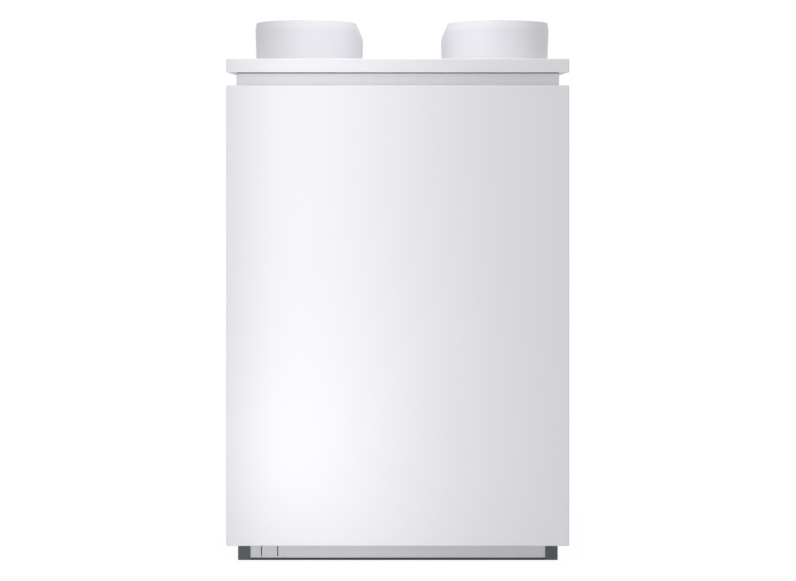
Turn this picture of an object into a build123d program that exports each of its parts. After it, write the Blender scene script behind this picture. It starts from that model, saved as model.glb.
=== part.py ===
# Air source heat pump for a plant room, a white cabinet that draws and returns
# its air through two oval collars on the lid.
# Millimetres. X runs along the width, Y from the front to the back and Z up.
# The origin is the middle of the cabinet's footprint, on the floor.

import os
from math import cos, radians, sin

from build123d import *

os.makedirs("parts", exist_ok=True)

# Cabinet
case_width = 784
case_depth = 1182
case_height = 1165
lid_height = 31
neck_height = 30
plinth_height = 51
side_inset = 20
front_inset = 30
rear_inset = 20
toe_inset = 60
sheet = 1.5
panel_gap = 2
panel_joint = 2.5
panel_edge_radius = 2.5
panel_corner_radius = 3
return_flange = 18
stud_flange = 50

# Air collars
collar_radius = 125.5
collar_straight = 560
collar_height = 105
collar_shoulder = 3
collar_lip_height = 18
collar_lip_draw = 2.5
collar_wall = 2
collar_flange = 12
collar_flange_thickness = 2
collar_spigot = 24
collar_front_setback = 239
intake_x = -233
outlet_x = 252
seal_thickness = 2

# Frame
post_leg = 40
post_thickness = 3
top_rail_height = 50
top_rail_thickness = 4
floor_thickness = 2
floor_gap = 1.5
rail_flange = 30
rail_thickness = 3
deck_z = 600
deck_thickness = 2
wall_thickness = 2

# Corner blocks, skirting and levelling feet
block_width = 60
block_depth = 71
block_nose = 28.5
block_rebate = 10
lip_height = 4.7
skirting_thickness = 6
skirting_slot = 2.5
skirting_slots_x = (-317.3, -279.6)
foot_inset_x = 30
foot_inset_y = 41
pad_radius = 22
pad_height = 10
pad_pocket_clearance = 2
pad_pocket_depth = 20
pad_socket_radius = 4.05
foot_neck_clearance = 0.05
spindle_radius = 5
spindle_clearance = 0.2
spindle_top_gap = 2
foot_nut_size = 17
foot_nut_height = 8

# Evaporator
evaporator_x = -28
evaporator_depth = 100
evaporator_front_gap = 46
evaporator_header_gap = 31
evaporator_base_z = 645
evaporator_top_z = 1105
fin_thickness = 0.8
fin_pitch = 25
tube_radius = 6
tube_rows = 8
tube_row_pitch = 54
tube_column_pitch = 50
end_plate_thickness = 2
end_plate_margin = 6
header_radius = 11
header_rear_gap = 56
drain_rear_gap = 101
tray_rear_gap = 79

# Fan
fan_plate_x = 38
fan_y = 100
fan_z = 870
fan_radius = 200
fan_inlet_radius = 128
fan_width = 112
fan_disc = 3
fan_blades = 7
fan_blade_thickness = 3
fan_hub_radius = 68
fan_gap = 12
fan_shaft_radius = 9
shaft_clearance = 0.05
strut_radius = 8
strut_offset = 165

# Machines below the deck
compressor_x = 170
compressor_y = 230
compressor_radius = 85
compressor_height = 400
compressor_wall = 4
grommet_height = 20
condenser_x = -200
condenser_y = 255
condenser_width = 120
condenser_depth = 110
condenser_height = 500
condenser_stand_height = 40
port_stub = 22
receiver_x = 20
receiver_y = 380
receiver_radius = 60
receiver_height = 240
receiver_wall = 4
valve_x = 120
valve_y = 60
valve_z = 500
valve_radius = 17
valve_length = 110
valve_port_pitch = 35

# Pipes
gas_pipe_radius = 9
liquid_pipe_radius = 6
water_pipe_radius = 13
water_spigot_radius = 14
drain_radius = 15
drain_spigot_radius = 16
spigot_length = 40
pipe_wall = 1
water_end_gap = 10

# Connection recess in the back
recess_x = (-300, -20)
recess_z = (90, 260)
recess_depth = 60
flow_z = 210
return_z = 140
drain_x = -105
drain_z = 175
gland_x = -52
gland_z = (125, 175, 225)
gland_radius = 12

# Switch box
box_side_gap = 62
box_depth = 150
hanger_depth = 21
board_inset = 15
box_height = 380
box_lift = 40
button_x = 250
button_travel = 2
button_radius = 6

# Fasteners
screw_head_radius = 4.5
screw_head_height = 2.6
screw_radius = 2.1
screw_clearance = 0.4
screw_length = 9

# Planes that the pieces share
half_width = case_width / 2
front_y = -case_depth / 2
rear_y = case_depth / 2
frame_x = half_width - side_inset
frame_front_y = front_y + front_inset
frame_rear_y = rear_y - rear_inset
lid_bottom_z = case_height - lid_height
panel_bottom_z = plinth_height
panel_top_z = lid_bottom_z - neck_height
panel_depth = front_inset - panel_gap
side_panel_depth = side_inset - 0.5
rear_panel_depth = rear_inset - 0.5
plinth_front_y = front_y + toe_inset
floor_z = plinth_height + 1
floor_top_z = floor_z + floor_thickness
top_rail_top_z = lid_bottom_z - seal_thickness
top_rail_bottom_z = top_rail_top_z - top_rail_height
deck_top_z = deck_z + deck_thickness
collar_y = front_y + collar_front_setback + collar_radius + collar_straight / 2
collar_base_z = case_height + seal_thickness
collar_top_z = case_height + collar_height
header_y = frame_rear_y - header_rear_gap
drain_y = frame_rear_y - drain_rear_gap
post_inner_x = frame_x - post_thickness
wall_y = front_y + collar_front_setback - 10
box_x = (-half_width + box_side_gap, half_width - box_side_gap)
box_rear_y = wall_y - wall_thickness - hanger_depth
box_y = (box_rear_y - box_depth, box_rear_y)


def slab(x, y, z, mode=Mode.ADD):
    """A box between two limits on each axis."""
    with Locations(((x[0] + x[1]) / 2, (y[0] + y[1]) / 2, (z[0] + z[1]) / 2)):
        Box(x[1] - x[0], y[1] - y[0], z[1] - z[0], mode=mode)


def rod(start, direction, radius, length, mode=Mode.ADD):
    """A round bar from a point along a direction."""
    with BuildSketch(Plane(origin=start, z_dir=direction), mode=Mode.PRIVATE) as disc:
        Circle(radius)
    extrude(disc.sketch, amount=length, mode=mode)


def finish(piece, name):
    """Names a finished piece and writes it."""
    piece.part.label = name
    export_step(piece.part, f"parts/{name}.step")


# Front panel, a folded pan that is open to the back
with BuildPart() as front_panel:
    slab(
        (-half_width, half_width),
        (front_y, front_y + panel_depth),
        (panel_bottom_z, panel_top_z),
    )
    fillet(front_panel.edges().filter_by(Axis.Y), radius=panel_corner_radius)
    fillet(front_panel.faces().sort_by(Axis.Y)[0].edges(), radius=panel_edge_radius)
    slab(
        (-half_width + sheet, half_width - sheet),
        (front_y + sheet, front_y + panel_depth - sheet),
        (panel_bottom_z + sheet, panel_top_z - sheet),
        mode=Mode.SUBTRACT,
    )
    slab(
        (-half_width + stud_flange, half_width - stud_flange),
        (front_y + sheet, front_y + panel_depth),
        (panel_bottom_z + return_flange, panel_top_z - return_flange),
        mode=Mode.SUBTRACT,
    )
finish(front_panel, "front_panel")

# Acoustic foam that lies in the front panel behind its flanges
lining_gap = 0.3
lining_thickness = 18
with BuildPart() as front_lining:
    slab(
        (-half_width + sheet + lining_gap, half_width - sheet - lining_gap),
        (front_y + sheet, front_y + sheet + lining_thickness),
        (panel_bottom_z + sheet + lining_gap, panel_top_z - sheet - lining_gap),
    )
finish(front_lining, "front_lining")

# Ball studs on the panel's flanges, and the sockets in the posts that hold them
stud_x = frame_x - post_leg / 2
stud_margin_z = 90
stud_places = [
    (side * stud_x, z)
    for side in (-1, 1)
    for z in (panel_bottom_z + stud_margin_z, panel_top_z - stud_margin_z)
]
ball_radius = 6
ball_reach = 10
catch_radius = 9.8
catch_flange = 14
catch_flange_thickness = 1.4
catch_depth = 16
ball_clearance = 0.3
with BuildPart() as panel_studs:
    for x, z in stud_places:
        back_y = front_y + panel_depth
        rod((x, back_y, z), (0, 1, 0), ball_radius * 0.6, ball_reach)
        with Locations((x, back_y + ball_reach, z)):
            Sphere(ball_radius)
finish(panel_studs, "panel_studs")

with BuildPart() as panel_catches:
    for x, z in stud_places:
        rod((x, frame_front_y - catch_flange_thickness, z), (0, 1, 0), catch_flange,
            catch_flange_thickness)
        rod((x, frame_front_y, z), (0, 1, 0), catch_radius, catch_depth)
    for x, z in stud_places:
        rod((x, frame_front_y - catch_flange_thickness, z), (0, 1, 0),
            ball_radius + ball_clearance, catch_flange_thickness + catch_depth,
            mode=Mode.SUBTRACT)
finish(panel_catches, "panel_catches")

# Side panels, the same kind of pan turned to each side
side_front_y = front_y + panel_depth + panel_joint
side_rear_y = rear_y - rear_panel_depth - panel_joint
for side, name in ((-1, "left_panel"), (1, "right_panel")):
    outer_x = side * half_width
    inner_x = side * (half_width - side_panel_depth)
    with BuildPart() as side_panel:
        slab(
            sorted((outer_x, inner_x)),
            (side_front_y, side_rear_y),
            (panel_bottom_z, panel_top_z),
        )
        fillet(side_panel.edges().filter_by(Axis.X), radius=panel_corner_radius)
        outer_face = side_panel.faces().filter_by(Axis.X).sort_by(Axis.X)[-1 if side > 0 else 0]
        fillet(outer_face.edges(), radius=panel_edge_radius)
        slab(
            sorted((outer_x - side * sheet, inner_x + side * sheet)),
            (side_front_y + sheet, side_rear_y - sheet),
            (panel_bottom_z + sheet, panel_top_z - sheet),
            mode=Mode.SUBTRACT,
        )
        slab(
            sorted((outer_x - side * sheet, inner_x)),
            (side_front_y + return_flange, side_rear_y - return_flange),
            (panel_bottom_z + return_flange, panel_top_z - return_flange),
            mode=Mode.SUBTRACT,
        )
    finish(side_panel, name)

# Screw places on the back and on the collars
rear_screw_x = half_width - 20
rear_screw_places = [
    (side * rear_screw_x, panel_bottom_z + 30 + (panel_top_z - panel_bottom_z - 60) * step / 4)
    for side in (-1, 1)
    for step in range(5)
]
lid_screw_places = [(x, lid_bottom_z + lid_height / 2) for x in (-300, -100, 100, 300)]
collar_screw_radius = collar_radius + collar_flange / 2 + 0.6
collar_screw_places = [
    (x + side * collar_screw_radius, collar_y + collar_straight * share)
    for x in (intake_x, outlet_x)
    for side in (-1, 1)
    for share in (-0.5, -0.17, 0.17, 0.5)
]

# Back panel with a window over the connection recess
with BuildPart() as rear_panel:
    slab(
        (-half_width, half_width),
        (rear_y - rear_panel_depth, rear_y),
        (panel_bottom_z, panel_top_z),
    )
    fillet(rear_panel.edges().filter_by(Axis.Y), radius=panel_corner_radius)
    fillet(rear_panel.faces().sort_by(Axis.Y)[-1].edges(), radius=panel_edge_radius)
    slab(
        (-half_width + sheet, half_width - sheet),
        (rear_y - rear_panel_depth + sheet, rear_y - sheet),
        (panel_bottom_z + sheet, panel_top_z - sheet),
        mode=Mode.SUBTRACT,
    )
    slab(
        (-half_width + return_flange, half_width - return_flange),
        (rear_y - rear_panel_depth, rear_y - sheet),
        (panel_bottom_z + return_flange, panel_top_z - return_flange),
        mode=Mode.SUBTRACT,
    )
    slab(recess_x, (rear_y - sheet, rear_y), recess_z, mode=Mode.SUBTRACT)
    for x, z in rear_screw_places:
        rod((x, rear_y, z), (0, -1, 0), screw_head_radius, sheet, mode=Mode.SUBTRACT)
finish(rear_panel, "rear_panel")

# Tray that lines the recess, with holes for the pipes and the glands
tray_wall_y = frame_rear_y - recess_depth
flow_x = condenser_x - condenser_width / 4
return_x = condenser_x + condenser_width / 4
tray_back_y = rear_y - sheet - 0.5
with BuildPart() as connection_tray:
    slab(
        (recess_x[0] - sheet, recess_x[1] + sheet),
        (tray_wall_y - sheet, tray_back_y),
        (recess_z[0] - sheet, recess_z[1] + sheet),
    )
    slab(recess_x, (tray_wall_y, tray_back_y), recess_z, mode=Mode.SUBTRACT)
    for x, z, radius in (
        (flow_x, flow_z, water_pipe_radius),
        (return_x, return_z, water_pipe_radius),
        (drain_x, drain_z, drain_radius),
    ):
        rod((x, tray_wall_y - sheet, z), (0, 1, 0), radius + 1, sheet, mode=Mode.SUBTRACT)
    for z in gland_z:
        rod((gland_x, tray_wall_y - sheet, z), (0, 1, 0), gland_radius * 0.8, sheet,
            mode=Mode.SUBTRACT)
finish(connection_tray, "connection_tray")

# Cable glands, each a hexagon, a dome and a threaded tail through the tray
gland_hex_height = 7
gland_dome_height = 16
gland_bore = 5
with BuildPart() as cable_glands:
    for z in gland_z:
        hexagon_plane = Plane(origin=(gland_x, tray_wall_y, z), z_dir=(0, 1, 0))
        with BuildSketch(hexagon_plane):
            RegularPolygon(gland_radius * 1.15, 6)
        extrude(amount=gland_hex_height)
        dome_plane = hexagon_plane.offset(gland_hex_height)
        with BuildSketch(dome_plane):
            Circle(gland_radius)
        extrude(amount=gland_dome_height, taper=12)
        rod((gland_x, tray_wall_y, z), (0, -1, 0), gland_radius * 0.78, 10)
        rod((gland_x, tray_wall_y - 10, z), (0, 1, 0), gland_bore,
            10 + gland_hex_height + gland_dome_height, mode=Mode.SUBTRACT)
finish(cable_glands, "cable_glands")

# Lid, a pan turned upside down with an oval opening under each collar
lid_top_sheet = 2
with BuildPart() as lid:
    slab((-half_width, half_width), (front_y, rear_y), (lid_bottom_z, case_height))
    fillet(lid.edges().filter_by(Axis.Z), radius=panel_corner_radius)
    fillet(lid.faces().sort_by(Axis.Z)[-1].edges(), radius=panel_edge_radius)
    slab(
        (-half_width + sheet, half_width - sheet),
        (front_y + sheet, rear_y - sheet),
        (lid_bottom_z + sheet, case_height - lid_top_sheet),
        mode=Mode.SUBTRACT,
    )
    slab(
        (-frame_x + top_rail_thickness, frame_x - top_rail_thickness),
        (frame_front_y + top_rail_thickness, frame_rear_y - top_rail_thickness),
        (lid_bottom_z, lid_bottom_z + sheet),
        mode=Mode.SUBTRACT,
    )
    with BuildSketch(Plane.XY.offset(case_height)):
        with Locations((intake_x, collar_y), (outlet_x, collar_y)):
            SlotCenterToCenter(collar_straight, 2 * collar_radius, rotation=90)
    extrude(amount=-lid_top_sheet, mode=Mode.SUBTRACT)
    for x, y in collar_screw_places:
        rod((x, y, case_height), (0, 0, -1), screw_radius + screw_clearance, lid_top_sheet,
            mode=Mode.SUBTRACT)
    for x, z in lid_screw_places:
        rod((x, rear_y, z), (0, -1, 0), screw_head_radius, sheet, mode=Mode.SUBTRACT)
finish(lid, "lid")

# Foam strips between the lid and the top rails
seal_width = 8
with BuildPart() as lid_seals:
    for y in (frame_front_y + 1, frame_rear_y - 1 - seal_width):
        slab((-frame_x + 1, frame_x - 1), (y, y + seal_width), (top_rail_top_z, lid_bottom_z))
    for x in (-frame_x + 1, frame_x - 1 - top_rail_thickness):
        slab(
            (x, x + top_rail_thickness),
            (frame_front_y + 2 + seal_width, frame_rear_y - 2 - seal_width),
            (top_rail_top_z, lid_bottom_z),
        )
finish(lid_seals, "lid_seals")

# Oval air collars: a spigot below the lid, a flange, a wall that opens to a shoulder
# and a lip that draws in again
collar_shoulder_z = collar_top_z - collar_lip_height
collar_foot_z = collar_base_z - collar_spigot
collar_wall_levels = (
    (collar_base_z, 0),
    (collar_shoulder_z, collar_shoulder),
    (collar_top_z, collar_shoulder - collar_lip_draw),
)


def oval(x, z, radius):
    """One level of a collar, as a sketch of its own."""
    with BuildSketch(Plane.XY.offset(z), mode=Mode.PRIVATE) as level:
        with Locations((x, collar_y)):
            SlotCenterToCenter(collar_straight, 2 * radius, rotation=90)
    return level.sketch


def collar(x, name):
    """One collar, from its spigot up to its lip."""
    spigot_radius = collar_radius - seal_thickness * 0.5
    with BuildPart() as piece:
        add(oval(x, collar_foot_z, spigot_radius))
        extrude(amount=collar_spigot)
        add(oval(x, collar_base_z, collar_radius + collar_flange))
        extrude(amount=collar_flange_thickness)
        for lower, upper in zip(collar_wall_levels, collar_wall_levels[1:]):
            loft([oval(x, lower[0], collar_radius + lower[1]),
                  oval(x, upper[0], collar_radius + upper[1])])
        add(oval(x, collar_foot_z, spigot_radius - collar_wall))
        extrude(amount=collar_spigot, mode=Mode.SUBTRACT)
        for lower, upper in zip(collar_wall_levels, collar_wall_levels[1:]):
            loft([oval(x, lower[0], collar_radius - collar_wall + lower[1]),
                  oval(x, upper[0], collar_radius - collar_wall + upper[1])],
                 mode=Mode.SUBTRACT)
        for screw_x, screw_y in collar_screw_places:
            if (screw_x - x) ** 2 < (case_width / 4) ** 2:
                rod((screw_x, screw_y, collar_base_z), (0, 0, 1),
                    screw_radius + screw_clearance, collar_flange_thickness,
                    mode=Mode.SUBTRACT)
    finish(piece, name)


collar(intake_x, "intake_collar")
collar(outlet_x, "outlet_collar")

# Rubber gaskets between the lid and the collar flanges
with BuildPart() as collar_gaskets:
    for x in (intake_x, outlet_x):
        add(oval(x, case_height, collar_radius + collar_flange))
        extrude(amount=seal_thickness)
        add(oval(x, case_height, collar_radius))
        extrude(amount=seal_thickness, mode=Mode.SUBTRACT)
    for x, y in collar_screw_places:
        rod((x, y, case_height), (0, 0, 1), screw_radius + screw_clearance, seal_thickness,
            mode=Mode.SUBTRACT)
finish(collar_gaskets, "collar_gaskets")


def screw(seat, direction, length):
    """A screw with a domed head on its seat and a shank along the direction."""
    rod(seat, direction, screw_radius, length)
    up = tuple(-part for part in direction)
    with BuildSketch(Plane(origin=seat, z_dir=up), mode=Mode.PRIVATE) as head:
        Circle(screw_head_radius)
    extrude(head.sketch, amount=screw_head_height, taper=30)


def flush_screw(head):
    """A screw from the back whose flat head sinks into the sheet."""
    rod(head, (0, -1, 0), screw_head_radius, sheet)
    rod(head, (0, -1, 0), screw_radius, screw_length)


# Screws of the back panel, the lid and the collars
with BuildPart() as casing_screws:
    for x, z in rear_screw_places:
        flush_screw((x, rear_y, z))
    for x, z in lid_screw_places:
        flush_screw((x, rear_y, z))
    for x, y in collar_screw_places:
        screw((x, y, collar_base_z + collar_flange_thickness), (0, 0, -1), screw_length)
finish(casing_screws, "casing_screws")

# Corner posts, folded angles that stand on the floor plate
with BuildPart() as frame_posts:
    for side in (-1, 1):
        for y, way in ((frame_front_y, 1), (frame_rear_y, -1)):
            slab(
                sorted((side * frame_x, side * (frame_x - post_leg))),
                sorted((y, y + way * post_thickness)),
                (floor_top_z, top_rail_bottom_z),
            )
            slab(
                sorted((side * frame_x, side * post_inner_x)),
                sorted((y, y + way * post_leg)),
                (floor_top_z, top_rail_bottom_z),
            )
    for x, z in stud_places:
        rod((x, frame_front_y, z), (0, 1, 0), catch_radius + 0.2, post_thickness,
            mode=Mode.SUBTRACT)
finish(frame_posts, "frame_posts")

# Top rails, the white band of the shadow gap under the lid
top_rail_z = (top_rail_bottom_z, top_rail_top_z)
with BuildPart() as top_rails:
    slab((-frame_x, frame_x), (frame_front_y, frame_front_y + top_rail_thickness), top_rail_z)
    fillet(top_rails.edges().filter_by(Axis.Z).group_by(Axis.Y)[0], radius=panel_edge_radius)
    slab((-frame_x, frame_x), (frame_rear_y - top_rail_thickness, frame_rear_y), top_rail_z)
    for side in (-1, 1):
        slab(
            sorted((side * frame_x, side * (frame_x - top_rail_thickness))),
            (frame_front_y + top_rail_thickness, frame_rear_y - top_rail_thickness),
            top_rail_z,
        )
finish(top_rails, "top_rails")

# Floor plate on the base rails
with BuildPart() as floor_plate:
    slab((-frame_x, frame_x), (frame_front_y, frame_rear_y), (floor_z, floor_top_z))
finish(floor_plate, "floor_plate")

# Corner blocks that carry the levelling feet
block_top_z = floor_z
foot_x = frame_x - foot_inset_x
foot_corners = {
    "front_left": (-1, plinth_front_y, 1),
    "front_right": (1, plinth_front_y, 1),
    "rear_left": (-1, frame_rear_y, -1),
    "rear_right": (1, frame_rear_y, -1),
}
with BuildPart() as corner_blocks:
    for side, y, way in foot_corners.values():
        slab(
            sorted((side * frame_x, side * (frame_x - block_width))),
            sorted((y + way * block_rebate, y + way * block_depth)),
            (floor_gap, block_top_z),
        )
        slab(
            sorted((side * frame_x, side * (frame_x - block_nose))),
            sorted((y, y + way * block_rebate)),
            (floor_gap, block_top_z),
        )
    fillet(corner_blocks.edges().filter_by(Axis.Z).group_by(Axis.X)[0]
           + corner_blocks.edges().filter_by(Axis.Z).group_by(Axis.X)[-1],
           radius=panel_edge_radius)
    for side, y, way in foot_corners.values():
        foot_y = y + way * foot_inset_y
        rod((side * foot_x, foot_y, 0), (0, 0, 1), pad_radius + pad_pocket_clearance,
            floor_gap + pad_pocket_depth, mode=Mode.SUBTRACT)
        rod((side * foot_x, foot_y, 0), (0, 0, 1), spindle_radius + spindle_clearance,
            block_top_z, mode=Mode.SUBTRACT)
finish(corner_blocks, "corner_blocks")

# Levelling feet: a pad that rests on the floor, and a threaded spindle that turns in it
socket_depth = 6
neck_radius = pad_socket_radius - foot_neck_clearance
socket_gap = 0.3
spindle_top_z = block_top_z - spindle_top_gap
for corner, (side, y, way) in foot_corners.items():
    centre = (side * foot_x, y + way * foot_inset_y)
    with BuildPart() as foot_pad:
        rod((*centre, 0), (0, 0, 1), pad_radius, pad_height)
        chamfer(foot_pad.faces().sort_by(Axis.Z)[-1].edges(), length=3)
        rod((*centre, pad_height - socket_depth), (0, 0, 1), pad_socket_radius,
            socket_depth, mode=Mode.SUBTRACT)
    finish(foot_pad, f"foot_pad_{corner}")
    with BuildPart() as foot_spindle:
        rod((*centre, pad_height - socket_depth + socket_gap), (0, 0, 1), neck_radius,
            socket_depth)
        nut_z = pad_height + socket_gap
        with BuildSketch(Plane.XY.offset(nut_z)):
            with Locations(centre):
                RegularPolygon(foot_nut_size / 2, 6, major_radius=False)
        extrude(amount=foot_nut_height)
        rod((*centre, nut_z), (0, 0, 1), spindle_radius, spindle_top_z - nut_z)
    finish(foot_spindle, f"foot_spindle_{corner}")

# Base rails under the floor plate
rail_z = (floor_gap, floor_z)
block_inner_x = frame_x - block_width
nose_inner_x = frame_x - block_nose
rail_gap = 0.5
side_rail_y = (
    plinth_front_y + block_depth + rail_gap,
    frame_rear_y - block_depth - rail_gap,
)
with BuildPart() as base_rails:
    slab(
        (-nose_inner_x + rail_gap, nose_inner_x - rail_gap),
        (plinth_front_y, plinth_front_y + block_rebate - rail_gap),
        (floor_gap, floor_gap + lip_height),
    )
    slab(
        (-block_inner_x + rail_gap, block_inner_x - rail_gap),
        (plinth_front_y + block_rebate - rail_gap - 1, plinth_front_y + block_rebate + 2),
        rail_z,
    )
    slab(
        (-nose_inner_x + rail_gap, nose_inner_x - rail_gap),
        (frame_rear_y - rail_thickness, frame_rear_y),
        rail_z,
    )
    slab(
        (-block_inner_x + rail_gap, block_inner_x - rail_gap),
        (frame_rear_y - rail_flange, frame_rear_y),
        (floor_z - rail_thickness, floor_z),
    )
    for side in (-1, 1):
        slab(sorted((side * frame_x, side * (frame_x - rail_thickness))), side_rail_y, rail_z)
        for low_z in (floor_gap, floor_z - rail_thickness):
            slab(
                sorted((side * frame_x, side * (frame_x - rail_flange))),
                side_rail_y,
                (low_z, low_z + rail_thickness),
            )
finish(base_rails, "base_rails")

# White skirting between the front corner blocks, with two slots beside a tab
skirting_z = (floor_gap + lip_height + 0.3, plinth_height - 0.5)
with BuildPart() as skirting:
    slab(
        (-nose_inner_x + rail_gap, nose_inner_x - rail_gap),
        (plinth_front_y + 2, plinth_front_y + 2 + skirting_thickness),
        skirting_z,
    )
    for x in skirting_slots_x:
        slab(
            (x - skirting_slot / 2, x + skirting_slot / 2),
            (plinth_front_y + 2, plinth_front_y + 2 + skirting_thickness),
            (skirting_z[0] + skirting_slot, skirting_z[1]),
            mode=Mode.SUBTRACT,
        )
finish(skirting, "skirting")

# Deck between the machine space and the air chamber, with holes for the pipes
header_holes = ((evaporator_x + tube_column_pitch / 2, header_radius),
                (evaporator_x - tube_column_pitch / 2, liquid_pipe_radius))
with BuildPart() as deck:
    slab(
        (-post_inner_x, post_inner_x),
        (frame_front_y + post_thickness, frame_rear_y - post_thickness),
        (deck_z, deck_top_z),
    )
    for x, radius in header_holes:
        rod((x, header_y, deck_z), (0, 0, 1), radius + 2, deck_thickness, mode=Mode.SUBTRACT)
    rod((drain_x, drain_y, deck_z), (0, 0, 1), drain_radius + 1, deck_thickness,
        mode=Mode.SUBTRACT)
finish(deck, "deck")

# Front wall of the air chamber
chamber_top_z = case_height - lid_top_sheet - 0.5
with BuildPart() as chamber_wall:
    slab((-frame_x + top_rail_thickness + 1.5, frame_x - top_rail_thickness - 1.5),
         (wall_y - wall_thickness, wall_y), (deck_top_z, chamber_top_z))
finish(chamber_wall, "chamber_wall")

# Drip tray under the evaporator, with its outlet at the back left
tray_x = (-130, fan_plate_x - 4)
tray_y = (wall_y + 3, frame_rear_y - tray_rear_gap)
tray_height = 40
with BuildPart() as drip_tray:
    slab(tray_x, tray_y, (deck_top_z, deck_top_z + tray_height))
    slab(
        (tray_x[0] + sheet, tray_x[1] - sheet),
        (tray_y[0] + sheet, tray_y[1] - sheet),
        (deck_top_z + sheet, deck_top_z + tray_height),
        mode=Mode.SUBTRACT,
    )
    rod((drain_x, drain_y, deck_top_z), (0, 0, 1), drain_radius - pipe_wall, sheet,
        mode=Mode.SUBTRACT)
finish(drip_tray, "drip_tray")

# Evaporator: a pack of fins on two columns of tubes, between two end plates
evaporator_front_y = wall_y + evaporator_front_gap
evaporator_length = header_y - evaporator_header_gap - evaporator_front_y
evaporator_rear_y = evaporator_front_y + evaporator_length
evaporator_middle_z = (evaporator_base_z + evaporator_top_z) / 2
tube_columns = [evaporator_x + side * tube_column_pitch / 2 for side in (-1, 1)]
tube_levels = [
    evaporator_middle_z + (row - (tube_rows - 1) / 2) * tube_row_pitch
    for row in range(tube_rows)
]
tube_places = [(x, z) for x in tube_columns for z in tube_levels]


def finned_outline(low_z, high_z):
    """A fin or an end plate seen along the tubes, with a hole for each tube."""
    with BuildSketch(Plane.XZ, mode=Mode.PRIVATE) as outline:
        with Locations((evaporator_x, (low_z + high_z) / 2)):
            Rectangle(evaporator_depth, high_z - low_z)
        with Locations(*tube_places):
            Circle(tube_radius, mode=Mode.SUBTRACT)
    return outline.sketch


fin_count = int((evaporator_length - fin_pitch) / fin_pitch)
fin_start_y = evaporator_front_y + (evaporator_length - (fin_count - 1) * fin_pitch) / 2
fin_outline = finned_outline(evaporator_base_z, evaporator_top_z)
single_fin = extrude(fin_outline, amount=fin_thickness, mode=Mode.PRIVATE)
evaporator_fins = Compound([
    single_fin.solid().moved(Location((0, fin_start_y + number * fin_pitch, 0)))
    for number in range(fin_count)
])
evaporator_fins.label = "evaporator_fins"
export_step(evaporator_fins, "parts/evaporator_fins.step")

end_plate_low_z = deck_top_z + sheet
end_plate_high_z = evaporator_top_z + end_plate_margin
with BuildPart() as evaporator_end_plates:
    for y in (evaporator_front_y, evaporator_rear_y + end_plate_thickness):
        with Locations((0, y, 0)):
            plate = extrude(finned_outline(end_plate_low_z, end_plate_high_z),
                            amount=end_plate_thickness, mode=Mode.PRIVATE)
            add(plate)
finish(evaporator_end_plates, "evaporator_end_plates")

# Tubes with return bends at the front, and headers at the back
bend_start_y = evaporator_front_y - end_plate_thickness - 6
header_start_z = deck_z - 12
with BuildPart() as evaporator_tubes:
    for column, x in enumerate(tube_columns):
        for lower_z, upper_z in zip(tube_levels[::2], tube_levels[1::2]):
            hairpin_top = (lower_z + upper_z) / 2
            bend_radius = (upper_z - lower_z) / 2
            with BuildLine(Plane.YZ.offset(x)) as hairpin:
                Line((header_y, lower_z), (bend_start_y, lower_z))
                ThreePointArc((bend_start_y, lower_z),
                              (bend_start_y - bend_radius, hairpin_top),
                              (bend_start_y, upper_z))
                Line((bend_start_y, upper_z), (header_y, upper_z))
            with BuildSketch(Plane(origin=(x, header_y, lower_z), z_dir=(0, -1, 0))):
                Circle(tube_radius)
            sweep(path=hairpin.line)
        radius = header_radius if column else liquid_pipe_radius + 3
        rod((x, header_y, deck_top_z + 20), (0, 0, 1), radius,
            tube_levels[-1] + 20 - deck_top_z - 20)
        neck = header_radius if column else liquid_pipe_radius
        rod((x, header_y, header_start_z), (0, 0, 1), neck, deck_top_z + 20 - header_start_z)
finish(evaporator_tubes, "evaporator_tubes")

# Fan plate, the wall between the intake and outlet chambers, with the fan's inlet
with BuildPart() as fan_plate:
    slab((fan_plate_x, fan_plate_x + wall_thickness),
         (wall_y, frame_rear_y - seal_width - 3), (deck_top_z, chamber_top_z))
    rod((fan_plate_x, fan_y, fan_z), (1, 0, 0), fan_inlet_radius + 12, wall_thickness,
        mode=Mode.SUBTRACT)
finish(fan_plate, "fan_plate")

# Inlet ring, a bell mouth that reaches into the fan's shroud
fan_plate_face_x = fan_plate_x + wall_thickness
shroud_x = fan_plate_face_x + fan_gap
bell_thickness = 2
bell_reach = fan_gap + 6
bell_throat = fan_inlet_radius - 4
with BuildPart() as fan_inlet_ring:
    with BuildSketch(Plane.XY):
        with BuildLine():
            flange_y = fan_inlet_radius + 22
            start = (fan_plate_face_x, flange_y)
            turn = (fan_plate_face_x, bell_throat + bell_reach)
            throat = (fan_plate_face_x + bell_reach, bell_throat)
            Line(start, turn)
            RadiusArc(turn, throat, -bell_reach)
            Line(throat, (throat[0], throat[1] + bell_thickness))
            RadiusArc((throat[0], throat[1] + bell_thickness),
                      (turn[0] + bell_thickness, turn[1]), bell_reach - bell_thickness)
            Polyline((turn[0] + bell_thickness, turn[1]),
                     (start[0] + bell_thickness, start[1]), start)
        make_face()
    revolve(axis=Axis.X)
    fan_inlet_ring.part.position = (0, fan_y, fan_z)
finish(fan_inlet_ring, "fan_inlet_ring")

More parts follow.
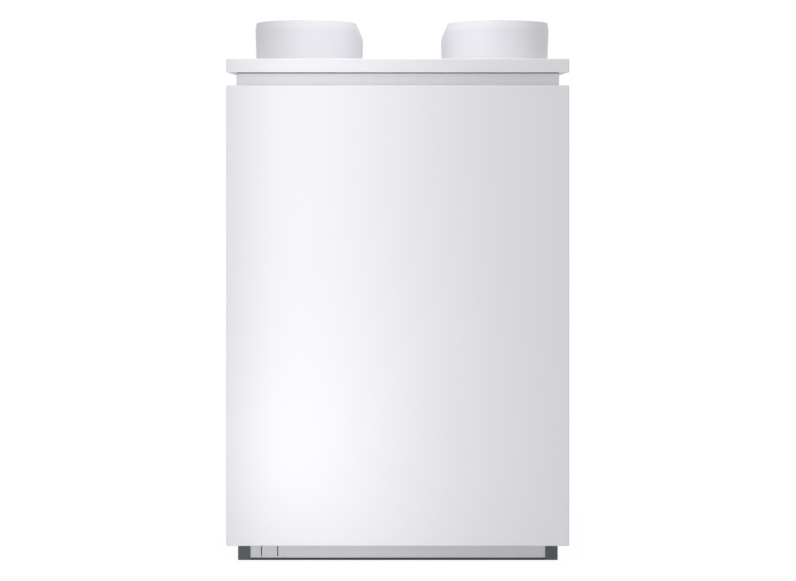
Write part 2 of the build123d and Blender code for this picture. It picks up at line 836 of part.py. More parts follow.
# Impeller: a back disc, a shroud ring and backward-curved blades
disc_x = shroud_x + fan_width
blade_inner_radius = 112
blade_sweep = 48
fan_plane = Plane(origin=(shroud_x, fan_y, fan_z), z_dir=(1, 0, 0))
with BuildPart() as fan_impeller:
    with BuildSketch(fan_plane.offset(fan_width)):
        Circle(fan_radius)
        Circle(fan_shaft_radius + 6, mode=Mode.SUBTRACT)
    extrude(amount=fan_disc)
    with BuildSketch(fan_plane):
        Circle(fan_radius)
        Circle(fan_inlet_radius + 2, mode=Mode.SUBTRACT)
    extrude(amount=fan_disc)
    with BuildSketch(fan_plane.offset(fan_disc)):
        for number in range(fan_blades):
            turn = 360 * number / fan_blades
            root = (blade_inner_radius + 20) * cos(radians(turn)), \
                (blade_inner_radius + 20) * sin(radians(turn))
            tip = (fan_radius - 3) * cos(radians(turn + blade_sweep)), \
                (fan_radius - 3) * sin(radians(turn + blade_sweep))
            with BuildLine():
                blade_line = RadiusArc(root, tip, -fan_radius)
            trace(blade_line, line_width=fan_blade_thickness)
    extrude(amount=fan_width - fan_disc)
finish(fan_impeller, "fan_impeller")

# External rotor of the fan motor, bolted to the back disc
rotor_length = 62
with BuildPart() as fan_rotor:
    rod((disc_x, fan_y, fan_z), (-1, 0, 0), fan_hub_radius, rotor_length)
    fillet(fan_rotor.faces().sort_by(Axis.X)[0].edges(), radius=10)
    rod((disc_x, fan_y, fan_z), (-1, 0, 0), fan_shaft_radius + shaft_clearance,
        rotor_length - 12, mode=Mode.SUBTRACT)
finish(fan_rotor, "fan_rotor")

# Fixed half of the fan motor, with the shaft that the rotor turns on
stator_gap = 5
stator_length = 20
stator_x = disc_x + fan_disc + stator_gap
motor_plate_x = stator_x + stator_length
with BuildPart() as fan_stator:
    rod((stator_x, fan_y, fan_z), (1, 0, 0), fan_hub_radius - 8, stator_length)
    rod((stator_x, fan_y, fan_z), (-1, 0, 0), fan_shaft_radius,
        stator_x - disc_x + rotor_length - 14)
    with Locations((stator_x + stator_length / 2, fan_y, fan_z + fan_hub_radius - 8)):
        Box(stator_length, 34, 22)
finish(fan_stator, "fan_stator")

# Motor plate on four struts
strut_places = [
    (fan_y + side * strut_offset, fan_z + way * strut_offset)
    for side in (-1, 1)
    for way in (-1, 1)
]
motor_plate_thickness = 3
with BuildPart() as fan_motor_plate:
    with BuildSketch(Plane(origin=(motor_plate_x, fan_y, fan_z), z_dir=(1, 0, 0))):
        for turn in (45, 135):
            Rectangle(90, 2.83 * strut_offset + 50, rotation=turn)
    extrude(amount=motor_plate_thickness)
finish(fan_motor_plate, "fan_motor_plate")

with BuildPart() as fan_struts:
    for y, z in strut_places:
        rod((fan_plate_face_x, y, z), (1, 0, 0), strut_radius,
            motor_plate_x - fan_plate_face_x)
finish(fan_struts, "fan_struts")

# Compressor: a sealed shell on rubber feet, with its motor and pump inside
shell_base_z = floor_top_z + grommet_height
shell_foot_thickness = 5
shell_low_z = shell_base_z + shell_foot_thickness
shell_top_z = shell_low_z + compressor_height
shell_corner = 40
foot_circle = compressor_radius + 8
grommet_radius = 16
grommet_places = [
    (compressor_x + foot_circle * cos(radians(turn)), compressor_y + foot_circle * sin(radians(turn)))
    for turn in (45, 135, 225, 315)
]
compressor_axis = Axis((compressor_x, compressor_y, 0), (0, 0, 1))
compressor_plane = Plane(origin=(compressor_x, compressor_y, 0), x_dir=(1, 0, 0),
                         z_dir=(0, -1, 0))


def capsule(radius, low_z, high_z, corner):
    """Half the outline of a rounded vessel about its axis."""
    with BuildSketch(compressor_plane, mode=Mode.PRIVATE) as outline:
        with BuildLine():
            FilletPolyline((0, low_z), (radius, low_z), (radius, high_z), (0, high_z),
                           radius=corner)
            Line((0, high_z), (0, low_z))
        make_face()
    return outline.sketch


suction_stub_z = 250
stub_length = 16
with BuildPart() as compressor_shell:
    add(capsule(compressor_radius, shell_low_z, shell_top_z, shell_corner))
    revolve(axis=compressor_axis)
    rod((compressor_x, compressor_y - compressor_radius + 2, suction_stub_z), (0, -1, 0),
        gas_pipe_radius + 3, stub_length)
    rod((compressor_x, compressor_y, shell_top_z - 3), (0, 0, 1), gas_pipe_radius + 3,
        stub_length)
    with BuildSketch(Plane.XY.offset(shell_base_z)):
        with Locations((compressor_x, compressor_y)):
            RectangleRounded(2 * foot_circle * 0.707 + 44, 2 * foot_circle * 0.707 + 44, 20)
    extrude(amount=shell_foot_thickness)
    add(capsule(compressor_radius - compressor_wall, shell_low_z + compressor_wall,
                shell_top_z - compressor_wall, shell_corner - compressor_wall))
    revolve(axis=compressor_axis, mode=Mode.SUBTRACT)
    for x, y in grommet_places:
        rod((x, y, shell_base_z), (0, 0, 1), 6, shell_foot_thickness, mode=Mode.SUBTRACT)
finish(compressor_shell, "compressor_shell")

with BuildPart() as compressor_grommets:
    for x, y in grommet_places:
        rod((x, y, floor_top_z), (0, 0, 1), grommet_radius, grommet_height)
        rod((x, y, floor_top_z), (0, 0, 1), 5.7, grommet_height + shell_foot_thickness + 3)
finish(compressor_grommets, "compressor_grommets")

# Motor winding and scroll set inside the shell
inner_radius = compressor_radius - compressor_wall
stator_core_z = (shell_low_z + 90, shell_low_z + 210)
rotor_core_radius = 40
air_gap = 0.8
crank_radius = 11
scroll_z = (shell_low_z + 280, shell_low_z + 340)
bearing_z = (shell_low_z + 50, shell_low_z + 62)
with BuildPart() as compressor_stator:
    with BuildSketch(Plane.XY.offset(stator_core_z[0])):
        with Locations((compressor_x, compressor_y)):
            Circle(inner_radius)
            Circle(rotor_core_radius + air_gap, mode=Mode.SUBTRACT)
    extrude(amount=stator_core_z[1] - stator_core_z[0])
    with BuildSketch(Plane.XY.offset(stator_core_z[0] - 22)):
        with Locations((compressor_x, compressor_y)):
            Circle(inner_radius - 10)
            Circle(rotor_core_radius + 8, mode=Mode.SUBTRACT)
    extrude(amount=stator_core_z[1] - stator_core_z[0] + 44)
finish(compressor_stator, "compressor_stator")

with BuildPart() as compressor_bearings:
    for low, high in (bearing_z, scroll_z):
        with BuildSketch(Plane.XY.offset(low)):
            with Locations((compressor_x, compressor_y)):
                Circle(inner_radius)
                Circle(crank_radius + shaft_clearance, mode=Mode.SUBTRACT)
        extrude(amount=high - low)
finish(compressor_bearings, "compressor_bearings")

with BuildPart() as compressor_rotor:
    rod((compressor_x, compressor_y, bearing_z[0] + 2), (0, 0, 1), crank_radius,
        scroll_z[1] - bearing_z[0] - 4)
    rod((compressor_x, compressor_y, stator_core_z[0]), (0, 0, 1), rotor_core_radius,
        stator_core_z[1] - stator_core_z[0])
finish(compressor_rotor, "compressor_rotor")

# Condenser, a brazed plate stack on a low stand, with four ports
condenser_low_z = floor_top_z + condenser_stand_height
condenser_top_z = condenser_low_z + condenser_height
condenser_x_limits = (condenser_x - condenser_width / 2, condenser_x + condenser_width / 2)
condenser_y_limits = (condenser_y - condenser_depth / 2, condenser_y + condenser_depth / 2)
gas_port = (return_x, condenser_top_z - 40)
liquid_port = (flow_x, condenser_low_z + 40)
plate_count = 22
plate_groove = 2
stand_thickness = 3
with BuildPart() as condenser:
    with BuildSketch(Plane(origin=(condenser_x, condenser_y_limits[1],
                                   (condenser_low_z + condenser_top_z) / 2),
                           x_dir=(1, 0, 0), z_dir=(0, -1, 0))):
        RectangleRounded(condenser_width - 2 * plate_groove, condenser_height - 2 * plate_groove,
                         24)
    extrude(amount=condenser_depth)
    plate_step = condenser_depth / plate_count
    for number in range(plate_count):
        origin_y = condenser_y_limits[0] + (number + 0.65) * plate_step
        with BuildSketch(Plane(origin=(condenser_x, origin_y,
                                       (condenser_low_z + condenser_top_z) / 2),
                               x_dir=(1, 0, 0), z_dir=(0, -1, 0))):
            RectangleRounded(condenser_width, condenser_height, 26)
        extrude(amount=plate_step / 2)
    for x, z in (gas_port, liquid_port):
        rod((x, condenser_y_limits[0] + 1, z), (0, -1, 0), gas_pipe_radius + 4, port_stub)
    for x, z in ((flow_x, gas_port[1]), (return_x, return_z)):
        rod((x, condenser_y_limits[1] - 1, z), (0, 1, 0), water_pipe_radius + 3, port_stub)
    slab(condenser_x_limits, condenser_y_limits,
         (condenser_low_z - stand_thickness, condenser_low_z + plate_groove))
    for x in (condenser_x_limits[0], condenser_x_limits[1] - stand_thickness):
        slab((x, x + stand_thickness), condenser_y_limits, (floor_top_z, condenser_low_z))
finish(condenser, "condenser")

# Liquid receiver on its ring foot, then the filter drier and the expansion valve above it
receiver_foot = 8
receiver_top_z = floor_top_z + receiver_foot + receiver_height
receiver_plane = Plane(origin=(receiver_x, receiver_y, 0), x_dir=(1, 0, 0), z_dir=(0, -1, 0))
receiver_axis = Axis((receiver_x, receiver_y, 0), (0, 0, 1))
receiver_port_z = liquid_port[1]
neck_length = 12
with BuildPart() as liquid_receiver:
    with BuildSketch(receiver_plane):
        with BuildLine():
            FilletPolyline((0, floor_top_z + receiver_foot),
                           (receiver_radius, floor_top_z + receiver_foot),
                           (receiver_radius, receiver_top_z),
                           (0, receiver_top_z), radius=30)
            Line((0, receiver_top_z), (0, floor_top_z + receiver_foot))
        make_face()
    revolve(axis=receiver_axis)
    with BuildSketch(receiver_plane):
        with BuildLine():
            FilletPolyline((0, floor_top_z + receiver_foot + receiver_wall),
                           (receiver_radius - receiver_wall,
                            floor_top_z + receiver_foot + receiver_wall),
                           (receiver_radius - receiver_wall, receiver_top_z - receiver_wall),
                           (0, receiver_top_z - receiver_wall), radius=30 - receiver_wall)
            Line((0, receiver_top_z - receiver_wall),
                 (0, floor_top_z + receiver_foot + receiver_wall))
        make_face()
    revolve(axis=receiver_axis, mode=Mode.SUBTRACT)
    rod((receiver_x, receiver_y, floor_top_z), (0, 0, 1), receiver_radius - 22,
        receiver_foot + 1)
    rod((receiver_x, receiver_y, receiver_top_z - 2), (0, 0, 1), liquid_pipe_radius + 2,
        neck_length)
    rod((receiver_x - receiver_radius + 2, receiver_y, receiver_port_z), (-1, 0, 0),
        liquid_pipe_radius + 2, neck_length)
finish(liquid_receiver, "liquid_receiver")

drier_low_z = receiver_top_z - 2 + neck_length
drier_length = 100
drier_radius = 25
with BuildPart() as filter_drier:
    rod((receiver_x, receiver_y, drier_low_z), (0, 0, 1), liquid_pipe_radius + 3, drier_length)
    with BuildSketch(Plane(origin=(receiver_x, receiver_y, 0), x_dir=(1, 0, 0),
                           z_dir=(0, -1, 0))):
        with BuildLine():
            FilletPolyline((0, drier_low_z + 8), (drier_radius, drier_low_z + 8),
                           (drier_radius, drier_low_z + drier_length - 8),
                           (0, drier_low_z + drier_length - 8), radius=10)
            Line((0, drier_low_z + drier_length - 8), (0, drier_low_z + 8))
        make_face()
    revolve(axis=receiver_axis)
finish(filter_drier, "filter_drier")

expansion_low_z = drier_low_z + drier_length
expansion_height = 46
with BuildPart() as expansion_valve:
    rod((receiver_x, receiver_y, expansion_low_z), (0, 0, 1), 11, expansion_height)
    rod((receiver_x, receiver_y, expansion_low_z + expansion_height / 2), (0, 1, 0), 9, 26)
    rod((receiver_x, receiver_y + 26, expansion_low_z + expansion_height / 2), (0, 1, 0),
        18, 34)
finish(expansion_valve, "expansion_valve")

# Reversing valve: a barrel with one port on top, three below and a small solenoid
valve_port_length = 12
solenoid_size = 30
with BuildPart() as reversing_valve:
    rod((valve_x - valve_length / 2, valve_y, valve_z), (1, 0, 0), valve_radius, valve_length)
    chamfer(reversing_valve.edges().filter_by(GeomType.CIRCLE), length=4)
    rod((valve_x, valve_y, valve_z), (0, 0, 1), gas_pipe_radius + 3,
        valve_radius + valve_port_length)
    for step in (-1, 0, 1):
        rod((valve_x + step * valve_port_pitch, valve_y, valve_z), (0, 0, -1),
            gas_pipe_radius + 3, valve_radius + valve_port_length)
    slab((valve_x - solenoid_size / 2, valve_x + solenoid_size / 2),
         (valve_y - valve_radius - solenoid_size, valve_y - valve_radius + 4),
         (valve_z - solenoid_size / 2, valve_z + solenoid_size / 2))
finish(reversing_valve, "reversing_valve")


def run_pipe(points, radius, bend):
    """A pipe along straight runs with round bends, from its first point to its last."""
    with BuildLine(mode=Mode.PRIVATE) as route:
        FilletPolyline(*points, radius=bend)
    first = Vector(*points[1]) - Vector(*points[0])
    with BuildSketch(Plane(origin=points[0], z_dir=first), mode=Mode.PRIVATE) as ring:
        Circle(radius)
        Circle(radius - pipe_wall, mode=Mode.SUBTRACT)
    sweep(ring.sketch, path=route.line)


# Refrigerant lines, from port to port
gas_bend = 24
liquid_bend = 18
valve_top_z = valve_z + valve_radius + valve_port_length
valve_low_z = valve_z - valve_radius - valve_port_length
discharge_z = shell_top_z - 3 + stub_length
suction_start_y = compressor_y - compressor_radius + 2 - stub_length
condenser_stub_y = condenser_y_limits[0] + 1 - port_stub
gas_run_z = valve_low_z - 60
side_run_x = 310
liquid_run_y = condenser_stub_y - 50
liquid_run_x = -100
injection_z = expansion_low_z + expansion_height + 34
receiver_neck_x = receiver_x - receiver_radius + 2 - neck_length
discharge_route = [
    (compressor_x, compressor_y, discharge_z),
    (compressor_x, compressor_y, valve_top_z + 34),
    (valve_x, valve_y, valve_top_z + 34),
    (valve_x, valve_y, valve_top_z),
]
suction_route = [
    (valve_x, valve_y, valve_low_z),
    (valve_x, valve_y, suction_stub_z),
    (compressor_x, valve_y, suction_stub_z),
    (compressor_x, suction_start_y, suction_stub_z),
]
condenser_gas_route = [
    (valve_x - valve_port_pitch, valve_y, valve_low_z),
    (valve_x - valve_port_pitch, valve_y, gas_run_z),
    (gas_port[0], valve_y, gas_run_z),
    (gas_port[0], valve_y, gas_port[1]),
    (gas_port[0], condenser_stub_y, gas_port[1]),
]
evaporator_gas_route = [
    (valve_x + valve_port_pitch, valve_y, valve_low_z),
    (valve_x + valve_port_pitch, valve_y, gas_run_z),
    (side_run_x, valve_y, gas_run_z),
    (side_run_x, header_y, gas_run_z),
    (tube_columns[1], header_y, gas_run_z),
    (tube_columns[1], header_y, header_start_z),
]
liquid_route = [
    (liquid_port[0], condenser_stub_y, liquid_port[1]),
    (liquid_port[0], liquid_run_y, liquid_port[1]),
    (liquid_run_x, liquid_run_y, liquid_port[1]),
    (liquid_run_x, receiver_y, liquid_port[1]),
    (receiver_neck_x, receiver_y, liquid_port[1]),
]
injection_route = [
    (receiver_x, receiver_y, expansion_low_z + expansion_height),
    (receiver_x, receiver_y, injection_z),
    (tube_columns[0], header_y, injection_z),
    (tube_columns[0], header_y, header_start_z),
]
with BuildPart() as refrigerant_lines:
    for route in (discharge_route, suction_route, condenser_gas_route, evaporator_gas_route):
        run_pipe(route, gas_pipe_radius, gas_bend)
    for route in (liquid_route, injection_route):
        run_pipe(route, liquid_pipe_radius, liquid_bend)
finish(refrigerant_lines, "refrigerant_lines")

# Heating water pipes with their nuts in the recess, and the condensate drain
water_bend = 30
water_end_y = rear_y - water_end_gap
water_start_y = condenser_y_limits[1] - 1 + port_stub
nut_length = 16
nut_radius = 21
flow_route = [
    (flow_x, water_start_y, gas_port[1]),
    (flow_x, water_start_y + 62, gas_port[1]),
    (flow_x, water_start_y + 62, flow_z),
    (flow_x, water_end_y, flow_z),
]
with BuildPart() as water_pipes:
    run_pipe(flow_route, water_pipe_radius, water_bend)
    rod((return_x, water_start_y, return_z), (0, 1, 0), water_pipe_radius,
        water_end_y - water_start_y)
    for x, z in ((flow_x, flow_z), (return_x, return_z)):
        with BuildSketch(Plane(origin=(x, tray_wall_y, z), z_dir=(0, 1, 0))):
            RegularPolygon(nut_radius, 6)
            Circle(water_pipe_radius - pipe_wall / 2, mode=Mode.SUBTRACT)
        extrude(amount=nut_length)
    for x, z in ((flow_x, flow_z), (return_x, return_z)):
        rod((x, water_end_y - spigot_length, z), (0, 1, 0), water_spigot_radius,
            spigot_length)
        rod((x, tray_wall_y, z), (0, 1, 0), water_pipe_radius - pipe_wall,
            water_end_y - tray_wall_y, mode=Mode.SUBTRACT)
    rod((return_x, water_start_y, return_z), (0, 1, 0), water_pipe_radius - pipe_wall,
        water_end_y - water_start_y, mode=Mode.SUBTRACT)
finish(water_pipes, "water_pipes")

drain_route = [
    (drain_x, drain_y, deck_top_z),
    (drain_x, drain_y, drain_z),
    (drain_x, water_end_y, drain_z),
]
with BuildPart() as drain_pipe:
    run_pipe(drain_route, drain_radius, water_bend)
    rod((drain_x, water_end_y - spigot_length, drain_z), (0, 1, 0), drain_spigot_radius,
        spigot_length)
    rod((drain_x, water_end_y - spigot_length, drain_z), (0, 1, 0), drain_radius - pipe_wall,
        spigot_length, mode=Mode.SUBTRACT)
finish(drain_pipe, "drain_pipe")

# Switch box behind the front panel, hung on the chamber wall and set on the deck
box_low_z = deck_top_z + box_lift
box_top_z = box_low_z + box_height
hanger_width = 40
hanger_thickness = 3
with BuildPart() as switch_box:
    slab(box_x, box_y, (box_low_z, box_top_z))
    slab(
        (box_x[0] + sheet, box_x[1] - sheet),
        (box_y[0], box_y[1] - sheet),
        (box_low_z + sheet, box_top_z - sheet),
        mode=Mode.SUBTRACT,
    )
    for x in (-200, 200):
        for z in (box_low_z + 40, box_top_z - 40):
            slab((x - hanger_width / 2, x + hanger_width / 2),
                 (box_y[1], wall_y - wall_thickness), (z, z + hanger_thickness))
        for y in (box_y[0] + 20, box_y[1] - 20 - hanger_thickness):
            slab((x - hanger_width / 2, x + hanger_width / 2), (y, y + hanger_thickness),
                 (deck_top_z, box_low_z))
finish(switch_box, "switch_box")

# Cover of the switch box, a shallow pan with a bushing for the reset button
cover_gap = 0.3
cover_skirt = 15
button_z = box_top_z - 60
button_gap = 0.3
button_collar = 3
button_collar_thickness = 2
bushing_length = 16
cover_outer_x = box_x[1] + cover_gap + sheet
cover_outer_z = (box_low_z - cover_gap - sheet, box_top_z + cover_gap + sheet)
with BuildPart() as switch_box_cover:
    slab((-cover_outer_x, cover_outer_x), (box_y[0] - sheet, box_y[0] + cover_skirt),
         cover_outer_z)
    slab((-cover_outer_x + sheet, cover_outer_x - sheet), (box_y[0], box_y[0] + cover_skirt),
         (cover_outer_z[0] + sheet, cover_outer_z[1] - sheet), mode=Mode.SUBTRACT)
    rod((button_x, box_y[0], button_z), (0, 1, 0),
        button_radius + button_collar + button_gap + 3, bushing_length)
    rod((button_x, box_y[0], button_z), (0, 1, 0), button_radius + button_collar + button_gap,
        bushing_length - 2, mode=Mode.SUBTRACT)
    rod((button_x, box_y[0] - sheet, button_z), (0, 1, 0), button_radius + button_gap, sheet,
        mode=Mode.SUBTRACT)
finish(switch_box_cover, "switch_box_cover")

with BuildPart() as reset_button:
    rod((button_x, box_y[0] - sheet - button_travel - 1, button_z), (0, 1, 0), button_radius,
        sheet + button_travel + 5)
    rod((button_x, box_y[0], button_z), (0, 1, 0), button_radius + button_collar,
        button_collar_thickness)
finish(reset_button, "reset_button")

# Control board on a mounting plate, with its modules
board_back_y = box_y[1] - sheet
modules = (
    ((-300, -120), 26, (80, 200)),
    ((-95, 60), 44, (70, 180)),
    ((90, 190), 60, (60, 160)),
    ((210, 300), 38, (60, 130)),
    ((-300, -60), 20, (260, 320)),
    ((-20, 300), 30, (250, 290)),
)
with BuildPart() as control_board:
    slab((box_x[0] + board_inset, box_x[1] - board_inset),
         (board_back_y - 4, board_back_y), (box_low_z + 30, box_top_z - 30))
    for x_limits, depth, z_limits in modules:
        slab(x_limits, (board_back_y - 4 - depth, board_back_y - 4),
             (box_low_z + z_limits[0], box_low_z + z_limits[1]))
    for number in range(14):
        slab((-6 + number * 21, 6 + number * 21),
             (board_back_y - 46, board_back_y - 34),
             (box_low_z + 254, box_low_z + 286))
finish(control_board, "control_board")
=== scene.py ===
import math

import bmesh
import bpy
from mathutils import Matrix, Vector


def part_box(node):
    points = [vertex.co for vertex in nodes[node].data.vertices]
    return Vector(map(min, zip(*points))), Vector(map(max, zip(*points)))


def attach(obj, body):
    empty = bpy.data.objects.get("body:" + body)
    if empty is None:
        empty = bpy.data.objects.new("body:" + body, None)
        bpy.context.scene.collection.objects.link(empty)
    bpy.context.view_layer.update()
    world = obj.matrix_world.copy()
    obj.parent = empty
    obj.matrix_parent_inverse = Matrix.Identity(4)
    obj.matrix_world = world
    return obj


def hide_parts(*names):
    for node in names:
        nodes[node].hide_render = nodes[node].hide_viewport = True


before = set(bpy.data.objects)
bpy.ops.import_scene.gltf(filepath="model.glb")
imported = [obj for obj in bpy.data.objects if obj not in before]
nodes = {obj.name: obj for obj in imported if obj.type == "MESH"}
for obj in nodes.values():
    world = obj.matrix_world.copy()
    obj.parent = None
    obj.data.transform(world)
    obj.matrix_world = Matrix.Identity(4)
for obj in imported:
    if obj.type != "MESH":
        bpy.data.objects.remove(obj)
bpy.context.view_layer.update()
print("frame loaded,", len(nodes), "nodes")

# Materials: every finish is a Principled shader with noise in its roughness and its relief.
# A finish names only what differs from these values.
finishDefaults = {"metallic": 0, "specular": 0.5, "coat": 0, "coatRoughness": 0.1,
                  "stretch": (1, 1, 1), "cloudScale": 3, "cloudDetail": 4, "rampLow": 0.3,
                  "rampHigh": 0.7, "spread": 0.01, "roughSpread": 0.03, "spangle": 0,
                  "grain": 0.05, "grainScale": 900, "grainDepth": 0.0002}


def makeFinish(name, ownLook):
    look = {**finishDefaults, **ownLook}
    mat = bpy.data.materials.new(name)
    mat.use_nodes = True
    tree = mat.node_tree
    shader = tree.nodes["Principled BSDF"]
    shader.inputs["Metallic"].default_value = look["metallic"]
    shader.inputs["Roughness"].default_value = look["roughness"]
    shader.inputs["Specular IOR Level"].default_value = look["specular"]
    shader.inputs["Coat Weight"].default_value = look["coat"]
    shader.inputs["Coat Roughness"].default_value = look["coatRoughness"]
    coords = tree.nodes.new("ShaderNodeTexCoord")
    stretch = tree.nodes.new("ShaderNodeMapping")
    stretch.inputs["Scale"].default_value = look["stretch"]
    tree.links.new(coords.outputs["Object"], stretch.inputs["Vector"])
    cloud = tree.nodes.new("ShaderNodeTexNoise")  # slow drift of the colour
    cloud.inputs["Scale"].default_value = look["cloudScale"]
    cloud.inputs["Detail"].default_value = look["cloudDetail"]
    tree.links.new(stretch.outputs["Vector"], cloud.inputs["Vector"])
    tint = tree.nodes.new("ShaderNodeValToRGB")
    base = look["colour"]
    darker = [max(0, part * (1 - look["spread"])) for part in base]
    lighter = [min(1, part * (1 + look["spread"])) for part in base]
    tint.color_ramp.elements[0].position = look["rampLow"]
    tint.color_ramp.elements[1].position = look["rampHigh"]
    tint.color_ramp.elements[0].color = (*darker, 1)
    tint.color_ramp.elements[1].color = (*lighter, 1)
    tree.links.new(cloud.outputs["Fac"], tint.inputs["Fac"])
    tree.links.new(tint.outputs["Color"], shader.inputs["Base Color"])
    rough = tree.nodes.new("ShaderNodeMapRange")  # patches that shine a little more or less
    rough.inputs["To Min"].default_value = look["roughness"] - look["roughSpread"]
    rough.inputs["To Max"].default_value = look["roughness"] + look["roughSpread"]
    tree.links.new(cloud.outputs["Fac"], rough.inputs["Value"])
    tree.links.new(rough.outputs["Result"], shader.inputs["Roughness"])
    grain = tree.nodes.new("ShaderNodeTexVoronoi" if look["spangle"] else "ShaderNodeTexNoise")
    grain.inputs["Scale"].default_value = look["grainScale"]
    tree.links.new(stretch.outputs["Vector"], grain.inputs["Vector"])
    height = grain.outputs["Distance" if look["spangle"] else "Fac"]
    if look["spangle"]:  # zinc crystals
        crystal = tree.nodes.new("ShaderNodeMix")
        crystal.data_type = "RGBA"
        crystal.blend_type = "SOFT_LIGHT"
        crystal.inputs["Factor"].default_value = look["spangle"]
        grey = tree.nodes.new("ShaderNodeRGBToBW")
        tree.links.new(grain.outputs["Color"], grey.inputs["Color"])
        tree.links.new(tint.outputs["Color"], crystal.inputs["A"])
        tree.links.new(grey.outputs["Val"], crystal.inputs["B"])
        tree.links.new(crystal.outputs["Result"], shader.inputs["Base Color"])
    relief = tree.nodes.new("ShaderNodeBump")
    relief.inputs["Strength"].default_value = look["grain"]
    relief.inputs["Distance"].default_value = look["grainDepth"]
    tree.links.new(height, relief.inputs["Height"])
    tree.links.new(relief.outputs["Normal"], shader.inputs["Normal"])
    mat.diffuse_color = (*base, 1)
    return mat


finishLooks = {
    "powderWhite": {"colour": (0.86, 0.86, 0.9), "roughness": 0.42, "grain": 0.12,
                    "grainScale": 700, "spread": 0.006},
    # top rails: the panels' white paint painted lighter, painted light against the shade under the
    # lid
    "paintedLightBandWhite": {"colour": (0.92, 0.92, 0.96), "roughness": 0.45, "grain": 0.1,
                  "grainScale": 700, "spread": 0.006},
    "collarWhite": {"colour": (0.82, 0.82, 0.855), "roughness": 0.5, "grain": 0.15,
                    "grainScale": 520, "spread": 0.01},
    "plinthGrey": {"colour": (0.11, 0.12, 0.13), "roughness": 0.55, "grain": 0.2,
                   "grainScale": 600, "spread": 0.05},
    "railGrey": {"colour": (0.035, 0.037, 0.04), "roughness": 0.5, "grain": 0.12,
                 "spread": 0.05},
    "trayGrey": {"colour": (0.04, 0.04, 0.043), "roughness": 0.55, "grain": 0.2,
                 "grainScale": 500, "spread": 0.06},
    "zinc": {"colour": (0.52, 0.54, 0.56), "metallic": 0.9, "roughness": 0.38, "spangle": 0.35,
             "grainScale": 95, "roughSpread": 0.08, "spread": 0.05, "grain": 0.03},
    "brightSteel": {"colour": (0.62, 0.62, 0.64), "metallic": 1, "roughness": 0.25,
                    "stretch": (1, 1, 12), "grainScale": 300, "spread": 0.04},
    "plateSteel": {"colour": (0.6, 0.59, 0.58), "metallic": 1, "roughness": 0.3,
                   "stretch": (1, 30, 1), "grainScale": 120, "spread": 0.08},
    "machinedSteel": {"colour": (0.42, 0.42, 0.43), "metallic": 1, "roughness": 0.3,
                      "stretch": (1, 1, 30), "grainScale": 200, "spread": 0.08},
    "castIron": {"colour": (0.13, 0.13, 0.135), "metallic": 0.6, "roughness": 0.6,
                 "grain": 0.4, "grainScale": 260, "spread": 0.15},
    "castAlloy": {"colour": (0.45, 0.46, 0.47), "metallic": 0.85, "roughness": 0.45,
                  "grain": 0.3, "grainScale": 420, "spread": 0.06},
    "finAlloy": {"colour": (0.72, 0.73, 0.75), "metallic": 1, "roughness": 0.3, "spread": 0.05,
                 "stretch": (1, 1, 8), "grainScale": 240},
    "copper": {"colour": (0.68, 0.27, 0.14), "metallic": 1, "roughness": 0.28, "spread": 0.16,
               "cloudScale": 14, "roughSpread": 0.1, "grainScale": 300},
    "brass": {"colour": (0.66, 0.46, 0.17), "metallic": 1, "roughness": 0.3, "spread": 0.1,
              "cloudScale": 16, "grainScale": 320},
    "blackEnamel": {"colour": (0.012, 0.012, 0.014), "roughness": 0.3, "coat": 0.4,
                    "grain": 0.12, "grainScale": 180, "spread": 0.2},
    "blackPlastic": {"colour": (0.02, 0.02, 0.022), "roughness": 0.45, "grain": 0.2,
                     "grainScale": 500, "spread": 0.12},
    "rubber": {"colour": (0.018, 0.018, 0.018), "roughness": 0.8, "grain": 0.3,
               "grainScale": 420, "spread": 0.15},
    "greyNylon": {"colour": (0.34, 0.35, 0.37), "roughness": 0.4, "grain": 0.1,
                  "grainScale": 500, "spread": 0.04},
    "drainPlastic": {"colour": (0.52, 0.53, 0.55), "roughness": 0.35, "grain": 0.06,
                     "spread": 0.03},
    "coverGrey": {"colour": (0.6, 0.6, 0.62), "roughness": 0.42, "grain": 0.12,
                  "grainScale": 700, "spread": 0.01},
    "boardGreen": {"colour": (0.012, 0.09, 0.035), "roughness": 0.35, "coat": 0.3,
                   "grain": 0.1, "grainScale": 260, "spread": 0.12},
    "buttonRed": {"colour": (0.52, 0.014, 0.01), "roughness": 0.25, "coat": 0.5,
                  "grain": 0.03, "spread": 0.04},
    "foamGrey": {"colour": (0.03, 0.03, 0.032), "roughness": 0.95, "grain": 0.8,
                 "grainScale": 340, "spread": 0.2, "specular": 0.2},
    "windingCopper": {"colour": (0.42, 0.15, 0.06), "metallic": 0.7, "roughness": 0.4,
                      "stretch": (1, 1, 20), "grainScale": 160, "grain": 0.5, "spread": 0.2},
}
finishes = {name: makeFinish(name, look) for name, look in finishLooks.items()}

nodeFinishes = {
    "powderWhite": "front_panel left_panel right_panel rear_panel lid skirting",
    # the top rails take the white painted lighter against the lid's shade (painted light)
    "paintedLightBandWhite": "top_rails",
    "collarWhite": "intake_collar outlet_collar",
    "plinthGrey": "corner_blocks",
    "railGrey": "base_rails",
    "trayGrey": "connection_tray",
    "zinc": "frame_posts floor_plate deck chamber_wall fan_plate fan_inlet_ring fan_motor_plate "
            "evaporator_end_plates switch_box",
    "brightSteel": "casing_screws panel_studs fan_struts drip_tray",
    "plateSteel": "condenser",
    "machinedSteel": "compressor_rotor",
    "castIron": "compressor_bearings",
    "castAlloy": "fan_rotor fan_stator",
    "finAlloy": "evaporator_fins",
    "copper": "evaporator_tubes refrigerant_lines water_pipes filter_drier",
    "brass": "reversing_valve expansion_valve",
    "blackEnamel": "compressor_shell liquid_receiver",
    "blackPlastic": "fan_impeller panel_catches",
    "rubber": "lid_seals collar_gaskets compressor_grommets",
    "greyNylon": "cable_glands",
    "drainPlastic": "drain_pipe",
    "coverGrey": "switch_box_cover",
    "boardGreen": "control_board",
    "buttonRed": "reset_button",
    "windingCopper": "compressor_stator",
    "foamGrey": "front_lining",
}
finishOf = {node: finishes[name] for name, group in nodeFinishes.items() for node in group.split()}
